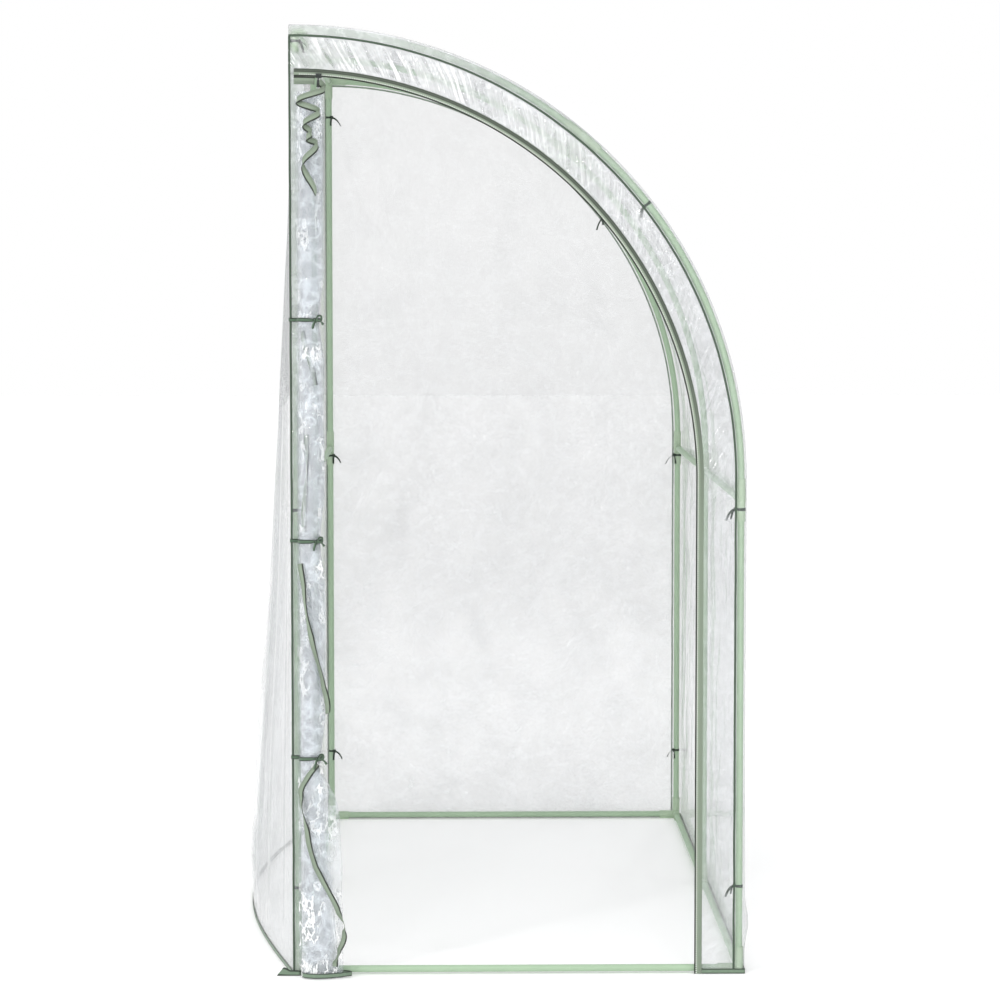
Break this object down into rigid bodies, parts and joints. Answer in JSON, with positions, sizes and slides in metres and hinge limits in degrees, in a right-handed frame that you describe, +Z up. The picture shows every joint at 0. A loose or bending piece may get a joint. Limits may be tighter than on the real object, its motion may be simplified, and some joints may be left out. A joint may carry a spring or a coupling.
{
  "type": "lean-to greenhouse",
  "caption": "Quarter-round lean-to greenhouse: green tube frames joined by rails and plastic connectors, with a clear film cover and a zipped end door tied back at the wall side.",
  "frame": {"origin": "on the floor, under the middle of the wall-side base rail, where the middle wall-side connector stands", "axes": "+X from the wall side to the front, +Y from the door end to the far end, +Z up"},
  "size_m": [1.188, 2.0732, 2.1396],
  "materials": {
    "green_tube": "thin steel tube with a smooth sage green plastic coat, satin",
    "connector_plastic": "moulded sage green plastic, fine matt grain",
    "clear_film": "clear soft PVC film, glossy, lightly creased",
    "green_binding": "woven dark green edge tape, sewn on",
    "green_ribbon": "woven dark green ribbon",
    "zip_tape": "woven green zip tape with a row of fine teeth",
    "slider_metal": "lacquered die-cast metal, nearly black"
  },
  "bodies": {
    "greenhouse": {"near_back_post_lower": "green_tube", "near_back_post_upper": "green_tube", "near_front_post": "green_tube", "near_arch_lower": "green_tube", "near_arch_upper": "green_tube", "near_back_mid_connector": "connector_plastic", "near_front_mid_connector": "connector_plastic", "near_purlin_connector": "connector_plastic", "near_ridge_connector": "connector_plastic", "near_back_base_connector": "connector_plastic", "near_front_base_connector": "connector_plastic", "mid_back_post_lower": "green_tube", "mid_back_post_upper": "green_tube", "mid_front_post": "green_tube", "mid_arch_lower": "green_tube", "mid_arch_upper": "green_tube", "mid_back_mid_connector": "connector_plastic", "mid_front_mid_connector": "connector_plastic", "mid_purlin_connector": "connector_plastic", "mid_ridge_connector": "connector_plastic", "mid_back_base_connector": "connector_plastic", "mid_front_base_connector": "connector_plastic", "far_back_post_lower": "green_tube", "far_back_post_upper": "green_tube", "far_front_post": "green_tube", "far_arch_lower": "green_tube", "far_arch_upper": "green_tube", "far_back_mid_connector": "connector_plastic", "far_front_mid_connector": "connector_plastic", "far_purlin_connector": "connector_plastic", "far_ridge_connector": "connector_plastic", "far_back_base_connector": "connector_plastic", "far_front_base_connector": "connector_plastic", "near_back_base_rail": "green_tube", "near_front_base_rail": "green_tube", "near_back_mid_rail": "green_tube", "near_front_mid_rail": "green_tube", "near_purlin": "green_tube", "near_ridge_rail": "green_tube", "far_back_base_rail": "green_tube", "far_front_base_rail": "green_tube", "far_back_mid_rail": "green_tube", "far_front_mid_rail": "green_tube", "far_purlin": "green_tube", "far_ridge_rail": "green_tube", "near_base_bar": "green_tube", "far_base_bar": "green_tube", "cover_roof": "clear_film", "cover_back": "clear_film", "cover_far_end": "clear_film", "door_surround": "clear_film", "edge_binding": "green_binding", "floor_hem": "green_binding", "cover_ties": "green_ribbon", "zip_tape": "zip_tape"},
    "zip_slider": {"zip_slider": "slider_metal"},
    "zip_pull": {"zip_pull": "slider_metal"},
    "gathered_door": {"door_film": "clear_film", "door_binding": "zip_tape", "door_straps": "green_ribbon"}
  },
  "joints": [
    {"name": "zip_run", "type": "hinge", "parent": "greenhouse", "child": "zip_slider", "pos_m": [0, -1.0126, 1.127], "axis": [0, 1, 0], "range_deg": [0, 86.5]},
    {"name": "zip_pull_swing", "type": "hinge", "parent": "zip_slider", "child": "zip_pull", "pos_m": [0.05498, -1.0183, 2.02597], "axis": [-0.9981, 0, 0.061], "range_deg": [0, 170]},
    {"name": "door_swing", "type": "hinge", "parent": "greenhouse", "child": "gathered_door", "pos_m": [0, -1.0126, 1], "axis": [0, 0, -1], "range_deg": [0, 90]}
  ]
}
